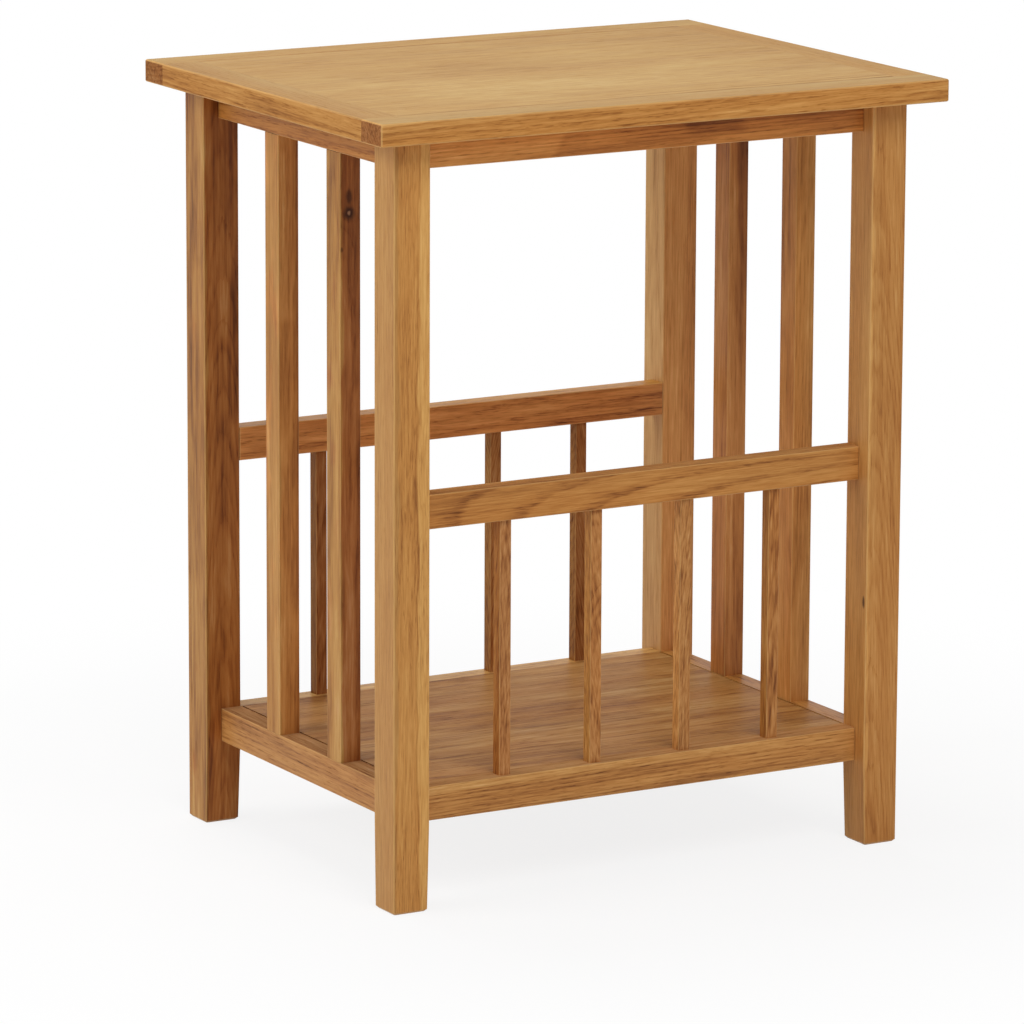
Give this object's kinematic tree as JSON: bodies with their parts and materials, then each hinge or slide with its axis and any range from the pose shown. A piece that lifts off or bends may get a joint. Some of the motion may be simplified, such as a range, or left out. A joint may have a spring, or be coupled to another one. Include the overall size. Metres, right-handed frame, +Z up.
{
  "type": "magazine table with rack",
  "caption": "Rectangular oak side table with square legs, slatted sides and a low shelf, whose front and back spindle rails form an open rack for magazines.",
  "frame": {"origin": "on the floor, under the centre of the table top", "axes": "+X to the right along the width, +Y from the front to the back, +Z up"},
  "size_m": [0.45, 0.35, 0.55],
  "materials": {
    "oak_panel": "satin lacquer",
    "oak_edge": "satin lacquer",
    "oak_leg": "satin lacquer",
    "oak_rail": "satin lacquer",
    "oak_upright": "satin lacquer",
    "beech_dowel": "plain",
    "screw_steel": "zinc plated"
  },
  "bodies": {
    "root": {"top_panel": "oak_panel", "shelf_panel": "oak_panel", "top_strip_front": "oak_edge", "top_strip_back": "oak_edge", "top_strip_left": "oak_edge", "top_strip_right": "oak_edge", "leg_front_left": "oak_leg", "leg_front_right": "oak_leg", "leg_back_left": "oak_leg", "leg_back_right": "oak_leg", "apron_front": "oak_rail", "apron_back": "oak_rail", "apron_left": "oak_rail", "apron_right": "oak_rail", "rack_rail_front": "oak_rail", "rack_rail_back": "oak_rail", "shelf_rail_front": "oak_rail", "shelf_rail_back": "oak_rail", "shelf_rail_left": "oak_rail", "shelf_rail_right": "oak_rail", "slat_left_1": "oak_upright", "slat_left_2": "oak_upright", "slat_right_1": "oak_upright", "slat_right_2": "oak_upright", "spindle_front_1": "oak_upright", "spindle_front_2": "oak_upright", "spindle_front_3": "oak_upright", "spindle_front_4": "oak_upright", "spindle_back_1": "oak_upright", "spindle_back_2": "oak_upright", "spindle_back_3": "oak_upright", "spindle_back_4": "oak_upright", "rail_dowels": "beech_dowel", "top_screws": "screw_steel"}
  },
  "joints": []
}
